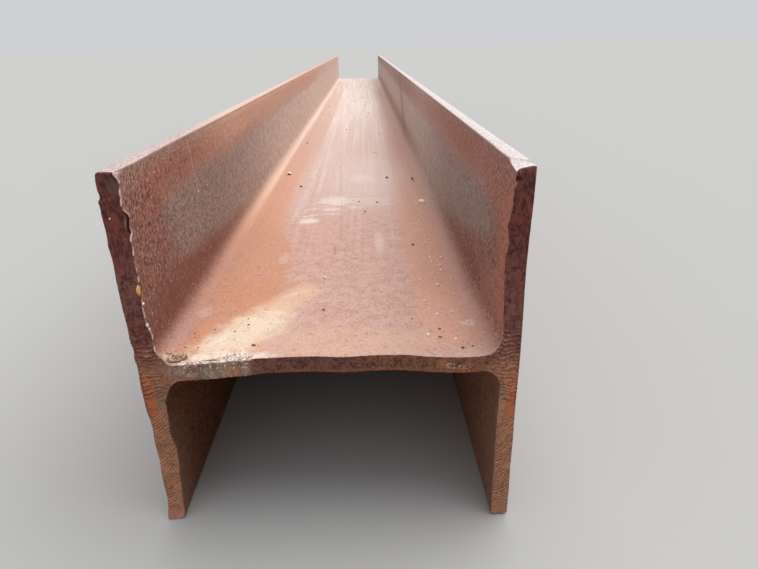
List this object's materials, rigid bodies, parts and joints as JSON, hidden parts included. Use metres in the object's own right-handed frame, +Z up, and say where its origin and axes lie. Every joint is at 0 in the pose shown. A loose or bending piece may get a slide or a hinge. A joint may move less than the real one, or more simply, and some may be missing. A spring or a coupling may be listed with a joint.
{
  "type": "steel i-beam",
  "caption": "Hot-rolled H-section steel beam with parallel flanges and a level web, lying on its flange toes, rusty, torch-cut at both ends.",
  "frame": {"origin": "bottom centre of the beam's box, on the floor plane that the flange toes rest on", "axes": "+X across the section from the left flange to the right one, +Y along the beam from the near end of the picture to the far end, +Z up from the toes along the flanges"},
  "size_m": [0.2496, 3.2, 0.258],
  "materials": {
    "rusty_steel": "rough, mill scale under brown and orange rust"
  },
  "bodies": {
    "root": {"steel_beam": "rusty_steel"}
  },
  "joints": []
}
